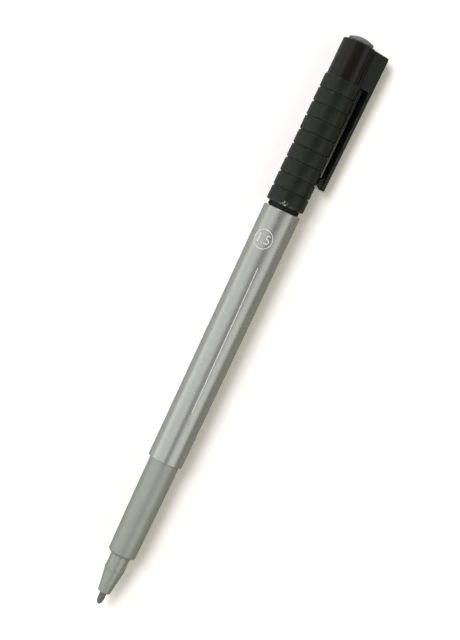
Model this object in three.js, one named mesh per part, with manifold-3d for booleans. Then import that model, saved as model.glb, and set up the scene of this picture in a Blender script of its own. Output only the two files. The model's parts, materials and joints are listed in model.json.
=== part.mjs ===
// A felt-tip pen lying on a table, with its cap pushed onto the rear end. Millimetres, +Z up.
// Every piece is drawn on the pen's own axis, X, from the nib's tip at x = 0 towards the cap's end,
// with the clip pointing to +Z. The whole pen is then rolled until the clip touches the table.

import * as THREE from 'three';
import { mergeVertices } from 'three/addons/utils/BufferGeometryUtils.js';
import Module from 'manifold-3d';

const wasm = await Module();
wasm.setup();

// Sides of the turned pieces
const roundSides = 48;
const nibSides = 24;

// Clearances
const pushFit = 0.05; // radial, between pieces pushed into each other
const slideFit = 0.12; // radial, between the post and the cap
const seatGap = 0.1; // axial, between a piece and the shoulder that it is pushed up to
const reservoirPlay = 0.3; // axial, at each end of the reservoir
const cappedPlay = 0.4; // axial, between the front section and the liner once the pen is capped

// Nib
const nibDiameter = 1.85;
const nibLength = 32;
const nibExposed = 3.45;
const nibNoseLength = 1.9;

// Nib holder
const holderFaceDiameter = 3.45;
const holderFaceRound = 0.3;
const holderConeLength = 6.95;
const holderStemDiameter = 5.35;
const holderStemLength = 3.9; // the part of the stem that shows
const holderStemInset = 0.6; // the part of it inside the front section
const holderTailDiameter = 4.9;
const holderTailLength = 7;
const holderGripLength = 9; // length over which the bore holds the nib
const holderVentDiameter = 2.8; // wider bore behind it

// Front section
const sectionLength = 27.8;
const sectionFrontDiameter = 7.6;
const sectionRearDiameter = 8.2;
const sectionCrown = 0.06; // radial swell halfway along
const sectionShoulderLength = 1.2;
const sectionFaceDepth = 0.42; // axial, of the sloping face inside the shoulder's round
const sectionFaceDiameter = 6.8;
const sectionStemGap = 0.15; // radial, the dark line round the stem
const spigotWall = 0.55;
const spigotLength = 8;

// Barrel
const barrelLength = 72.85;
const barrelFrontDiameter = 9.5;
const barrelRearDiameter = 10.2;
const barrelFrontRound = 0.15;
const barrelRearRound = 0.3;

// Reservoir
const filmDiameter = 6.4;
const filmWall = 0.15;
const filmClearance = 0.1;

// Rear plug
const plugSpigotLength = 8;
const plugBoreDiameter = 5.4;
const neckLength = 1.25; // the part that shows between the barrel and the cap
const postDiameter = 8.6;
const postTaper = 0.08; // radial, over the post's length
const postLength = 17.75; // the part inside the cap
const postRound = 0.8;
const postEndWall = 1;

// Cap shell
const capMouthDiameter = 10.44;
const capRibbedEndDiameter = 10.1;
const capSmoothDiameter = 9.45;
const capSmoothEndDiameter = 9.34;
const capSmoothLength = 10.55;
const capMouthRound = 0.45;
const capEndWall = 2.95;
const capEndChamferLength = 0.36;
const ribPitchWanted = 4;
const grooveDepth = 0.33;
const grooveWidth = 0.55;
const grooveFloorWidth = 0.3;

// Cap liner
const linerWall = 0.6;
const linerBoreDiameter = 6;
const linerLipLength = 1;
const linerEndWall = 0.8;
const nibEndClearance = 0.6; // between the nib's tip and the liner's end once the pen is capped

// Domed end plug of the cap
const domeDiameter = 6.9;
const domeRimHeight = 0.5;
const domeHeight = 1.5;
const domeCrownHeight = 0.7;
const domeCrownDiameter = 6.4;
const domeStudDiameter = 5.4;
const domeStudLength = 2.25;

// Clip
const clipLength = 28.35; // from the root block to the free end
const clipRootWidth = 5;
const clipTipWidth = 4.2;
const clipRootHeight = 8.17; // axis to the outer face at the cap's end
const clipTipHeight = 7.57; // axis to the outer face at the free end
const clipThickness = 0.9;
const clipTipSlant = 0.6;
const clipTipRound = 0.35;
const clipStub = 0.95; // length of blade that stays with the root block
const clipFlexGap = 0.3; // slot between that stub and the blade
const windowRound = 0.6;
const blockSetback = 0.55; // from the cap's end to the block's end
const blockEndRound = 0.4;
const blockOverlap = 0.05; // how far the block reaches over the last ring
const footWidth = 2.2;
const footLength = 1.2;
const footLean = 0.75; // how far the foot's front leans back
const footSlope = 1;
const footGap = 0.2; // radial, between the foot and the rings

// Rails beside the clip's root block
const railWidth = 1.15;
const railAngle = 48; // degrees from the clip
const railOverlap = 0.2; // how far the rails reach over the last ring
const railHeight = 0.28; // above the smooth part, at the rings
const railEndHeight = 0.05; // above it, at the cap's end

// Places along the axis
const holderFront = nibExposed;
const coneEnd = holderFront + holderConeLength;
const sectionFront = coneEnd + holderStemLength;
const tailFront = sectionFront + holderStemInset;
const tailEnd = tailFront + holderTailLength;
const barrelFront = sectionFront + sectionLength;
const barrelRear = barrelFront + barrelLength;
const capMouth = barrelRear + neckLength;
const postEnd = capMouth + postLength;
const plugFront = barrelRear - plugSpigotLength;
const reservoirSeat = tailEnd + seatGap;
const reservoirFront = reservoirSeat + reservoirPlay;
const reservoirEnd = plugFront - reservoirPlay;
const linerFront = capMouth + barrelFront - sectionFront + cappedPlay;
const linerFloor = capMouth + barrelFront + nibEndClearance;
const linerEnd = linerFloor + linerEndWall;
const capEndWallFront = linerEnd + seatGap;
const capEnd = capEndWallFront + capEndWall;
const ribbedEnd = capEnd - capSmoothLength;
const blockFront = ribbedEnd - blockOverlap;
const clipEnd = blockFront - clipLength;
const bladeRoot = blockFront - clipStub - clipFlexGap;

// Radii that follow from the sizes above
const stemRadius = holderStemDiameter / 2;
const filmRadius = filmDiameter / 2;
const spigotBore = filmRadius + filmClearance;
const spigotRadius = spigotBore + spigotWall;
const barrelBore = spigotRadius + pushFit;
const postRadius = postDiameter / 2;
const capBore = postRadius + slideFit;
const capMouthRadius = capMouthDiameter / 2;
const capSmoothEndRadius = capSmoothEndDiameter / 2;
const linerRadius = linerBoreDiameter / 2 + linerWall;
const domeRadius = domeDiameter / 2;
const domeStudRadius = domeStudDiameter / 2;

function along(from, to, share) {
  return from + (to - from) * share;
}

function capRadiusAt(x) {
  const share = (x - capMouth) / (ribbedEnd - capMouth);
  return along(capMouthRadius, capRibbedEndDiameter / 2, share);
}

function clipTopAt(x) {
  return along(clipTipHeight, clipRootHeight, (x - clipEnd) / (capEnd - clipEnd));
}

// A quarter-like curve between two points of a profile, bent towards a corner
function rounded(start, corner, end, steps) {
  const curve = new THREE.QuadraticBezierCurve(
    new THREE.Vector2(...start),
    new THREE.Vector2(...corner),
    new THREE.Vector2(...end),
  );
  return curve.getPoints(steps).map((point) => [point.x, point.y]);
}

// A closed mesh on position alone, without the slivers that a lathe leaves at its poles
function welded(geometry) {
  geometry.deleteAttribute('normal');
  geometry.deleteAttribute('uv');
  const merged = mergeVertices(geometry);
  const kept = [];
  for (let i = 0; i < merged.index.count; i += 3) {
    const corners = [0, 1, 2].map((k) => merged.index.getX(i + k));
    if (new Set(corners).size === 3) kept.push(...corners);
  }
  merged.setIndex(kept);
  return merged;
}

// Turns a profile of [x, radius] points about X. It runs forwards along the outside.
function turned(profile, sides = roundSides) {
  const points = profile.map(([x, radius]) => new THREE.Vector2(radius, x));
  const geometry = new THREE.LatheGeometry(points, sides);
  geometry.rotateZ(-Math.PI / 2);
  return welded(geometry);
}

// Extrudes a side view of [x, z] points across the pen, centred on it
function sideSlab(points, width) {
  const shape = new THREE.Shape(points.map(([x, z]) => new THREE.Vector2(x, z)));
  const geometry = new THREE.ExtrudeGeometry(shape, { depth: width, bevelEnabled: false });
  geometry.translate(0, 0, -width / 2);
  geometry.rotateX(Math.PI / 2);
  return welded(geometry);
}

// Extrudes a plan view of [x, y] points upwards
function planSlab(points, low, high) {
  const shape = new THREE.Shape(points.map(([x, y]) => new THREE.Vector2(x, y)));
  const geometry = new THREE.ExtrudeGeometry(shape, { depth: high - low, bevelEnabled: false });
  geometry.translate(0, 0, low);
  return welded(geometry);
}

function toSolid(geometry) {
  const mesh = new wasm.Mesh({
    numProp: 3,
    vertProperties: geometry.attributes.position.array,
    triVerts: new Uint32Array(geometry.index.array),
  });
  return new wasm.Manifold(mesh);
}

function toGeometry(solid) {
  const mesh = solid.getMesh();
  const geometry = new THREE.BufferGeometry();
  geometry.setAttribute('position', new THREE.BufferAttribute(mesh.vertProperties, 3));
  geometry.setIndex(new THREE.BufferAttribute(mesh.triVerts, 1));
  return geometry;
}

function nib() {
  const radius = nibDiameter / 2;
  const noseSteps = 6;
  const profile = [];
  for (let i = 0; i <= noseSteps; i++) {
    const angle = (i / noseSteps) * (Math.PI / 2);
    profile.push([nibNoseLength * (1 - Math.cos(angle)), radius * Math.sin(angle)]);
  }
  profile.push([nibLength, radius], [nibLength, 0]);
  return turned(profile, nibSides);
}

function nibHolder() {
  const bore = nibDiameter / 2 + pushFit;
  const faceRadius = holderFaceDiameter / 2;
  const gripEnd = holderFront + holderGripLength;
  return turned([
    [holderFront, bore],
    ...rounded(
      [holderFront, faceRadius - holderFaceRound],
      [holderFront, faceRadius],
      [holderFront + holderFaceRound, faceRadius],
      3,
    ),
    [coneEnd, stemRadius],
    [tailFront, stemRadius],
    [tailFront, holderTailDiameter / 2],
    [tailEnd, holderTailDiameter / 2],
    [tailEnd, holderVentDiameter / 2],
    [gripEnd, holderVentDiameter / 2],
    [gripEnd, bore],
    [holderFront, bore],
  ]);
}

function frontSection() {
  const frontRadius = sectionFrontDiameter / 2;
  const rearRadius = sectionRearDiameter / 2;
  const mouthRadius = stemRadius + sectionStemGap;
  const tailBore = holderTailDiameter / 2 + pushFit;
  const faceRadius = sectionFaceDiameter / 2;
  const faceEnd = sectionFront + sectionFaceDepth;
  const shoulderEnd = sectionFront + sectionShoulderLength;
  const corner = along(sectionFront, faceEnd, (frontRadius - mouthRadius) / (faceRadius - mouthRadius));
  const rear = barrelFront - seatGap;
  const grip = [1, 2, 3].map((i) => {
    const share = i / 4;
    const swell = 4 * sectionCrown * share * (1 - share);
    return [along(shoulderEnd, rear, share), along(frontRadius, rearRadius, share) + swell];
  });
  return turned([
    [sectionFront, mouthRadius],
    ...rounded([faceEnd, faceRadius], [corner, frontRadius], [shoulderEnd, frontRadius], 4),
    ...grip,
    [rear, rearRadius],
    [rear, spigotRadius],
    [rear + spigotLength, spigotRadius],
    [rear + spigotLength, spigotBore],
    [reservoirSeat, spigotBore],
    [reservoirSeat, tailBore],
    [tailFront + seatGap, tailBore],
    [tailFront + seatGap, mouthRadius],
    [sectionFront, mouthRadius],
  ]);
}

function barrel() {
  const frontRadius = barrelFrontDiameter / 2;
  const rearRadius = barrelRearDiameter / 2;
  return turned([
    [barrelFront, barrelBore],
    [barrelFront, frontRadius - barrelFrontRound],
    [barrelFront + barrelFrontRound, frontRadius],
    ...rounded(
      [barrelRear - barrelRearRound, rearRadius],
      [barrelRear, rearRadius],
      [barrelRear, rearRadius - barrelRearRound],
      3,
    ),
    [barrelRear, barrelBore],
    [barrelFront, barrelBore],
  ]);
}

function reservoirFilm() {
  const inside = filmRadius - filmWall;
  return turned([
    [reservoirFront, inside],
    [reservoirFront, filmRadius],
    [reservoirEnd, filmRadius],
    [reservoirEnd, inside],
    [reservoirFront, inside],
  ]);
}

function reservoirCore() {
  const radius = filmRadius - filmWall - pushFit;
  const nibHole = nibDiameter / 2 + pushFit;
  const holeEnd = nibLength + reservoirPlay;
  return turned([
    [holeEnd, 0],
    [holeEnd, nibHole],
    [reservoirFront, nibHole],
    [reservoirFront, radius],
    [reservoirEnd, radius],
    [reservoirEnd, 0],
  ]);
}

function rearPlug() {
  const boreRadius = plugBoreDiameter / 2;
  const collar = barrelRear + seatGap;
  const endRadius = postRadius - postTaper;
  return turned([
    [postEnd - postEndWall, 0],
    [postEnd - postEndWall, boreRadius],
    [plugFront, boreRadius],
    [plugFront, spigotRadius],
    [collar, spigotRadius],
    [collar, postRadius],
    [capMouth, postRadius],
    ...rounded(
      [postEnd - postRound, endRadius],
      [postEnd, endRadius],
      [postEnd, endRadius - postRound],
      4,
    ),
    [postEnd, 0],
  ]);
}

// The outside of the cap: rings parted by grooves, then the smooth end and its chamfer
function capOutline() {
  const ribbedLength = ribbedEnd - capMouth;
  const ribCount = Math.round(ribbedLength / ribPitchWanted);
  const ribPitch = ribbedLength / ribCount;
  const profile = [
    [capMouth, 0],
    ...rounded(
      [capMouth, capMouthRadius - capMouthRound],
      [capMouth, capMouthRadius],
      [capMouth + capMouthRound, capMouthRadius],
      3,
    ),
  ];
  for (let i = 1; i < ribCount; i++) {
    const centre = capMouth + i * ribPitch;
    const radius = capRadiusAt(centre);
    profile.push(
      [centre - grooveWidth / 2, radius],
      [centre - grooveFloorWidth / 2, radius - grooveDepth],
      [centre + grooveFloorWidth / 2, radius - grooveDepth],
      [centre + grooveWidth / 2, radius],
    );
  }
  const smoothRadius = capSmoothDiameter / 2;
  const lastRadius = capRadiusAt(ribbedEnd);
  profile.push(
    [ribbedEnd - (lastRadius - smoothRadius) / 2, lastRadius],
    [ribbedEnd, smoothRadius],
    [capEnd - capEndChamferLength, capSmoothEndRadius],
    [capEnd, domeRadius],
    [capEnd, 0],
  );
  return turned(profile);
}

// What is taken out of the cap: the bore for the pen, the liner's seat and the hole for the end plug
function capInside() {
  const beyond = 1;
  const seat = linerRadius + pushFit;
  const studHole = domeStudRadius + pushFit;
  return turned([
    [capMouth - beyond, 0],
    [capMouth - beyond, capBore],
    [linerFront - seatGap, capBore],
    [linerFront - seatGap, seat],
    [capEndWallFront, seat],
    [capEndWallFront, studHole],
    [capEnd + beyond, studHole],
    [capEnd + beyond, 0],
  ]);
}

// The clip's root block, with the stub of the blade and the rounded corner of the window under it
function clipBlock() {
  const blockEnd = capEnd - blockSetback;
  const blockTop = clipTopAt(blockEnd);
  const stubEnd = blockFront - clipStub;
  const stubTop = clipTopAt(stubEnd);
  const under = stubTop - clipThickness;
  return sideSlab([
    [blockFront, 0],
    [blockEnd, 0],
    ...rounded(
      [blockEnd, blockTop - blockEndRound],
      [blockEnd, blockTop],
      [blockEnd - blockEndRound, blockTop],
      3,
    ),
    [stubEnd, stubTop],
    [stubEnd, under],
    ...rounded(
      [blockFront - windowRound, under],
      [blockFront, under],
      [blockFront, under - windowRound],
      3,
    ),
  ], clipRootWidth);
}

// A low rail along the smooth part, highest at the rings
function clipRail(side) {
  const start = ribbedEnd - railOverlap;
  const end = capEnd - capEndChamferLength;
  const rail = sideSlab([
    [start, 0],
    [end, 0],
    [end, capSmoothEndRadius + railEndHeight],
    [start, capSmoothDiameter / 2 + railHeight],
  ], railWidth);
  rail.rotateX(side * THREE.MathUtils.degToRad(railAngle));
  return rail;
}

function capShell() {
  const outside = toSolid(capOutline())
    .add(toSolid(clipBlock()))
    .add(toSolid(clipRail(1)))
    .add(toSolid(clipRail(-1)));
  return toGeometry(outside.subtract(toSolid(capInside())));
}

function clipBlade() {
  const tipUnder = clipTipHeight - clipThickness;
  const rootTop = clipTopAt(bladeRoot);
  const side = sideSlab([
    [clipEnd, clipTipHeight],
    [clipEnd + clipTipSlant, tipUnder],
    [bladeRoot, rootTop - clipThickness],
    [bladeRoot, rootTop],
  ], clipRootWidth);
  const halfRoot = clipRootWidth / 2;
  const halfTip = clipTipWidth / 2;
  const tipCorner = rounded(
    [clipEnd + clipTipRound, halfTip],
    [clipEnd, halfTip],
    [clipEnd, halfTip - clipTipRound],
    3,
  );
  const plan = planSlab([
    [bladeRoot, -halfRoot],
    [bladeRoot, halfRoot],
    ...tipCorner,
    ...tipCorner.map(([x, y]) => [x, -y]).reverse(),
  ], 0, clipRootHeight * 2);
  return toSolid(side).intersect(toSolid(plan));
}

// The foot under the free end, which presses a pocket's cloth against the rings
function clipFoot() {
  const overlap = clipThickness / 2;
  const slantStart = clipEnd + clipTipSlant;
  const footFront = slantStart + footLean;
  const top = clipTipHeight - clipThickness;
  const bottom = capRadiusAt(footFront) + footGap;
  return sideSlab([
    [slantStart, top + overlap],
    [slantStart, top],
    [footFront, bottom],
    [footFront + footLength, bottom],
    [footFront + footLength + footSlope, top],
    [footFront + footLength + footSlope, top + overlap],
  ], footWidth);
}

function capClip() {
  return toGeometry(clipBlade().add(toSolid(clipFoot())));
}

function capLiner() {
  const lip = stemRadius + pushFit;
  const bore = linerBoreDiameter / 2;
  return turned([
    [linerFloor, 0],
    [linerFloor, bore],
    [linerFront + linerLipLength + (bore - lip), bore],
    [linerFront + linerLipLength, lip],
    [linerFront, lip],
    [linerFront, linerRadius],
    [linerEnd, linerRadius],
    [linerEnd, 0],
  ]);
}

function capEndPlug() {
  const seat = capEnd + pushFit;
  const top = capEnd + domeHeight;
  const crownRadius = domeCrownDiameter / 2;
  const crown = [3, 2, 1, 0].map((i) => {
    const radius = (crownRadius * i) / 3;
    return [top - domeCrownHeight * (radius / crownRadius) ** 2, radius];
  });
  return turned([
    [capEnd - domeStudLength, 0],
    [capEnd - domeStudLength, domeStudRadius],
    [seat, domeStudRadius],
    [seat, domeRadius],
    ...rounded([capEnd + domeRimHeight, domeRadius], [top - domeCrownHeight, domeRadius], crown[0], 3),
    ...crown.slice(1),
  ]);
}

function part(name, geometry, color, roughness, metalness) {
  const material = new THREE.MeshStandardMaterial({ color, roughness, metalness });
  const mesh = new THREE.Mesh(geometry, material);
  mesh.name = name;
  return mesh;
}

// The roll that lets the clip's corner and the cap's mouth rest on the same table
function restingRoll() {
  const halfWidth = clipRootWidth / 2;
  const blockTop = clipTopAt(capEnd - blockSetback - blockEndRound);
  const reach = Math.hypot(blockTop, halfWidth);
  const droop = Math.asin(capMouthRadius / reach) - Math.atan2(halfWidth, blockTop);
  return Math.PI / 2 + droop;
}

const pen = new THREE.Group();
pen.add(
  part('nib', nib(), 0x3b3d38, 0.9, 0),
  part('nib_holder', nibHolder(), 0x8f948c, 0.4, 0),
  part('front_section', frontSection(), 0x858a81, 0.7, 0),
  part('barrel', barrel(), 0xaeb2aa, 0.38, 0.3),
  part('reservoir_film', reservoirFilm(), 0xd8dad8, 0.25, 0),
  part('reservoir_core', reservoirCore(), 0x24262c, 0.95, 0),
  part('rear_plug', rearPlug(), 0x1a1a18, 0.5, 0),
  part('cap_shell', capShell(), 0x2b2d29, 0.55, 0),
  part('cap_clip', capClip(), 0x2b2d29, 0.45, 0),
  part('cap_liner', capLiner(), 0xc9ccc7, 0.45, 0),
  part('cap_end_plug', capEndPlug(), 0x6e7d78, 0.35, 0.2),
);
pen.rotation.x = restingRoll();

// The pen lies on z = 0, centred on the origin
const group = new THREE.Group();
group.add(pen);
group.updateMatrixWorld(true);
const extent = new THREE.Box3().setFromObject(group, true);
const centre = extent.getCenter(new THREE.Vector3());
pen.position.set(-centre.x, -centre.y, -extent.min.z);

export default group;
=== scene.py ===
# A felt-tip pen lying on a white table, with its cap pushed onto the rear end.
# The frame gives the places along the pen. Sizes are in millimetres unless a note says otherwise.
import json
import math

import bmesh
import bpy
from mathutils import Matrix, Vector


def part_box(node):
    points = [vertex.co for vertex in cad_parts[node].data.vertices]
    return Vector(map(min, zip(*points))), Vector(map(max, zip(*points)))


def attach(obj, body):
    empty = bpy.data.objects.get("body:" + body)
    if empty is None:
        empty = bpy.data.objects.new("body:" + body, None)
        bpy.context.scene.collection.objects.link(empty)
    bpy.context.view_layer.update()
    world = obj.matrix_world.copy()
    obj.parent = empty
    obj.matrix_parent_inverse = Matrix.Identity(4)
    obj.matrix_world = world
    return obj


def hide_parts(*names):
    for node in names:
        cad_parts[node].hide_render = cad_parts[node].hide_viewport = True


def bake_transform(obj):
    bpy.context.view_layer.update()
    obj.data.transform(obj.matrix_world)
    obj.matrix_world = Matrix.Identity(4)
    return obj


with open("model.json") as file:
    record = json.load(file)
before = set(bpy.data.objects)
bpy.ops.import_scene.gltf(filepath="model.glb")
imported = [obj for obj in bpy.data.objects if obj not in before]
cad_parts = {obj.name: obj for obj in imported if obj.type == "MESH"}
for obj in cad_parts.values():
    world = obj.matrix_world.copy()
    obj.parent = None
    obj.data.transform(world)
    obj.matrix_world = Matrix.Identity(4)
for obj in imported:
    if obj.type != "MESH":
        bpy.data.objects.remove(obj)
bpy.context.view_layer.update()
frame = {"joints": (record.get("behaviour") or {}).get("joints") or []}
mm = 0.001

# The pen is drawn along X with its clip pointing up, and is laid on the table at the end.
jointNamed = {joint["name"]: joint for joint in frame["joints"]}
axisY, axisZ = jointNamed["cap_turn"]["pos_m"][1:]
flexAxis = jointNamed["clip_flex"]["axis"]
roll = math.atan2(flexAxis[2], flexAxis[1])


def ends(node):
    low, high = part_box(node)
    return low.x / mm, high.x / mm


nibTip, nibEnd = ends("nib")
holderFront, holderEnd = ends("nib_holder")
sectionFront, sectionEnd = ends("front_section")
barrelFront, barrelRear = ends("barrel")
reservoirFront, reservoirEnd = ends("reservoir_core")
plugFront, postEnd = ends("rear_plug")
capMouth, capEnd = ends("cap_shell")
linerFront, linerEnd = ends("cap_liner")
studFront, domeTop = ends("cap_end_plug")
clipTip, bladeRoot = ends("cap_clip")
print("frame loaded, roll in degrees:", round(math.degrees(roll), 2))


# Modelling helpers
def selectOnly(piece):
    bpy.ops.object.select_all(action="DESELECT")
    piece.select_set(True)
    bpy.context.view_layer.objects.active = piece


def openEdit(piece):
    selectOnly(piece)
    bpy.ops.object.mode_set(mode="EDIT")
    bpy.ops.mesh.select_all(action="DESELECT")


def closeEdit():
    bpy.ops.object.mode_set(mode="OBJECT")


def pick(piece, kind, wanted):
    # selects the vertices, edges or faces that wanted says yes to
    bpy.ops.mesh.select_mode(type=kind)
    bpy.ops.mesh.select_all(action="DESELECT")
    form = bmesh.from_edit_mesh(piece.data)
    for item in {"VERT": form.verts, "EDGE": form.edges, "FACE": form.faces}[kind]:
        if wanted(item):
            item.select_set(True)
    bmesh.update_edit_mesh(piece.data)


def addPrimitive(name, add, **settings):
    bpy.ops.object.select_all(action="DESELECT")
    add(**settings)
    piece = bpy.context.object
    piece.name = name
    return piece


def applyModifier(piece, kind, **settings):
    selectOnly(piece)
    modifier = piece.modifiers.new(kind.lower(), kind)
    for name, value in settings.items():
        setattr(modifier, name, value)
    bpy.ops.object.modifier_apply(modifier=modifier.name)


def applyPlace(piece):
    selectOnly(piece)
    bpy.ops.object.transform_apply(location=True, rotation=True, scale=True)


def smooth(piece, degrees=32):
    # weighted normals keep a flat stretch flat in its shading, up to the fillet beside it
    selectOnly(piece)
    bpy.ops.object.shade_smooth_by_angle(angle=math.radians(degrees))
    applyModifier(piece, "WEIGHTED_NORMAL", keep_sharp=True)


def layDown(piece):
    piece.location = (0, axisY, axisZ)
    piece.rotation_euler = (roll, 0, 0)
    applyPlace(piece)


def addBlock(name, low, high):
    # a cube between two corners, with its place in its mesh
    middle = [(a + b) / 2 * mm for a, b in zip(low, high)]
    size = [(b - a) * mm for a, b in zip(low, high)]
    block = addPrimitive(name, bpy.ops.mesh.primitive_cube_add, size=1, location=middle, scale=size)
    applyPlace(block)
    return block


turning = {"sides": 128, "fineSides": 64, "filletSteps": 4, "weld": 0.0002, "longest": 2.5}


def turnedPiece(name, outline, sides=turning["sides"]):
    # draws an outline of (x, radius, fillet) corners point by point and spins it round the pen's axis
    piece = addPrimitive(name, bpy.ops.mesh.primitive_plane_add, size=mm, location=(0, 0, 0))
    bpy.ops.object.mode_set(mode="EDIT")
    bpy.ops.mesh.select_mode(type="VERT")
    bpy.ops.mesh.merge(type="CENTER")
    hereX, hereRadius = 0, 0
    for number, (x, radius, *_) in enumerate(outline):
        step = ((x - hereX) * mm, 0, (radius - hereRadius) * mm)
        if number == 0:
            bpy.ops.transform.translate(value=step)
        else:
            bpy.ops.mesh.extrude_vertices_move(TRANSFORM_OT_translate={"value": step})
        hereX, hereRadius = x, radius
    bpy.ops.mesh.select_all(action="SELECT")
    bpy.ops.mesh.remove_doubles(threshold=turning["weld"] * mm)
    for x, radius, *fillet in outline:
        if fillet:
            corner = Vector((x, 0, radius)) * mm
            pick(piece, "VERT", lambda vert: (vert.co - corner).length < 2 * turning["weld"] * mm)
            bpy.ops.mesh.bevel(
                offset=fillet[0] * mm, segments=turning["filletSteps"], affect="VERTICES", clamp_overlap=True
            )
    # long stretches are split, so that an edge's wear and painted highlight stay near the edge
    def tooLong(edge):
        return edge.calc_length() > turning["longest"] * mm

    while any(tooLong(edge) for edge in bmesh.from_edit_mesh(piece.data).edges):
        pick(piece, "EDGE", tooLong)
        bpy.ops.mesh.subdivide(number_cuts=1)
    bpy.ops.mesh.select_mode(type="VERT")
    bpy.ops.mesh.select_all(action="SELECT")
    bpy.ops.mesh.spin(steps=sides, angle=math.tau, center=(0, 0, 0), axis=(1, 0, 0))
    bpy.ops.mesh.select_all(action="SELECT")
    bpy.ops.mesh.remove_doubles(threshold=turning["weld"] * mm)
    bpy.ops.mesh.normals_make_consistent(inside=False)
    closeEdit()
    return piece


# Shader helpers
def colour(red, green, blue):
    # a colour as it is seen, 0 to 255, in the linear values that a shader takes
    shares = [value / 255 for value in (red, green, blue)]
    return [share / 12.92 if share <= 0.04045 else ((share + 0.055) / 1.055) ** 2.4 for share in shares] + [1]


def feed(tree, value, socket):
    # another node's output is linked, and a plain value is set
    if isinstance(value, bpy.types.NodeSocket):
        tree.links.new(value, socket)
    else:
        socket.default_value = value


def addNode(tree, kind, inputs, **settings):
    # gives the new node's outputs
    made = tree.nodes.new("ShaderNode" + kind)
    column, row = divmod(len(tree.nodes), 4)
    made.location = (column * 220 - 1500, row * 250 - 500)
    for name, value in settings.items():
        setattr(made, name, value)
    for name, value in inputs.items():
        feed(tree, value, made.inputs[name])
    return made.outputs


def mathOf(tree, operation, first, second=0.0, **settings):
    return addNode(tree, "Math", {0: first, 1: second}, operation=operation, **settings)["Value"]


def vectorOf(tree, operation, inputs, output="Vector"):
    return addNode(tree, "VectorMath", inputs, operation=operation)[output]


def noiseOf(tree, place, scale, detail, roughness=0.5):
    inputs = {"Vector": place, "Scale": scale, "Detail": detail, "Roughness": roughness}
    return addNode(tree, "TexNoise", inputs)["Fac"]


def rangeOf(tree, source, low, high, fromLow=0.0, fromHigh=1.0):
    inputs = {"Value": source, "From Min": fromLow, "From Max": fromHigh, "To Min": low, "To Max": high}
    return addNode(tree, "MapRange", inputs)["Result"]


def blendColours(tree, first, second, mask):
    # first where the mask is 0, second where it is 1
    return addNode(tree, "Mix", {6: first, 7: second, 0: mask}, data_type="RGBA")[2]


def addBump(tree, height, depth, under=None):
    # depth in millimetres
    inputs = {"Height": height, "Distance": depth * mm, "Strength": 1.0}
    if under is not None:
        inputs["Normal"] = under
    return addNode(tree, "Bump", inputs)["Normal"]


def newGroup(name, inputs, outputs):
    tree = bpy.data.node_groups.new(name, "ShaderNodeTree")
    tree.interface.new_socket(name="Vector", in_out="INPUT", socket_type="NodeSocketVector")
    for label, value in inputs.items():
        socket = tree.interface.new_socket(name=label, in_out="INPUT", socket_type="NodeSocketFloat")
        socket.default_value = value
    for label in outputs:
        tree.interface.new_socket(name=label, in_out="OUTPUT", socket_type="NodeSocketFloat")
    entry = tree.nodes.new("NodeGroupInput")
    entry.location = (-1800, 0)
    leave = tree.nodes.new("NodeGroupOutput")
    leave.location = (900, 0)
    return tree, entry.outputs, leave.inputs


def makeMouldGrain():
    # even speckle of moulded plastic, and wider patches in it
    tree, entry, leave = newGroup("mouldGrain", {"Grains per metre": 4000.0}, ["Grain", "Patches"])
    wider = mathOf(tree, "MULTIPLY", entry["Grains per metre"], 0.04)
    feed(tree, noiseOf(tree, entry["Vector"], entry["Grains per metre"], 3.0, 0.6), leave["Grain"])
    feed(tree, noiseOf(tree, entry["Vector"], wider, 2.0), leave["Patches"])


def makeDrawnLines():
    # fine lines: around the pen where Along is the larger number, lengthwise where Around is
    tree, entry, leave = newGroup("drawnLines", {"Along": 4000.0, "Around": 100.0}, ["Lines"])
    spread = addNode(tree, "CombineXYZ", {"X": entry["Along"], "Y": entry["Around"], "Z": entry["Around"]})
    stretched = vectorOf(tree, "MULTIPLY", {0: entry["Vector"], 1: spread["Vector"]})
    feed(tree, noiseOf(tree, stretched, 1.0, 3.0, 0.65), leave["Lines"])


def makeEdgeWear():
    # rubbed edges and a painted edge highlight: pale colour on outward edges, broken up by noise
    tree, entry, leave = newGroup("edgeWear", {"Start": 0.6, "Spots per metre": 900.0}, ["Wear"])
    shape = addNode(tree, "Attribute", {}, attribute_name="edgeShare")
    finish = mathOf(tree, "ADD", entry["Start"], 0.4)
    edge = rangeOf(tree, shape["Fac"], 0.0, 1.0, entry["Start"], finish)
    spots = noiseOf(tree, entry["Vector"], entry["Spots per metre"], 4.0, 0.7)
    broken = rangeOf(tree, spots, 0.0, 1.0, 0.42, 0.68)
    feed(tree, mathOf(tree, "MULTIPLY", edge, broken), leave["Wear"])


def makeDust():
    # a few pale specks, each in a cell of its own
    tree, entry, leave = newGroup("dust", {"Cells per metre": 500.0, "Speck size": 0.06}, ["Specks"])
    cells = addNode(tree, "TexVoronoi", {"Vector": entry["Vector"], "Scale": entry["Cells per metre"]})
    small = mathOf(tree, "LESS_THAN", cells["Distance"], entry["Speck size"])
    parts = addNode(tree, "SeparateColor", {"Color": cells["Color"]})
    few = mathOf(tree, "GREATER_THAN", parts["Red"], 0.72)
    feed(tree, mathOf(tree, "MULTIPLY", small, few), leave["Specks"])


for makeGroup in (makeMouldGrain, makeDrawnLines, makeEdgeWear, makeDust):
    makeGroup()


def addGroup(tree, name, place, inputs):
    return addNode(tree, "Group", {"Vector": place, **inputs}, node_tree=bpy.data.node_groups[name])


def newMaterial(name, sockets):
    made = bpy.data.materials.new(name)
    made.use_nodes = True
    tree = made.node_tree
    tree.nodes["Principled BSDF"].location = (1200, 0)
    tree.nodes["Material Output"].location = (1500, 0)
    shader = tree.nodes["Principled BSDF"].inputs
    for label, value in sockets.items():
        shader[label].default_value = value
    return made, tree, shader


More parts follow.
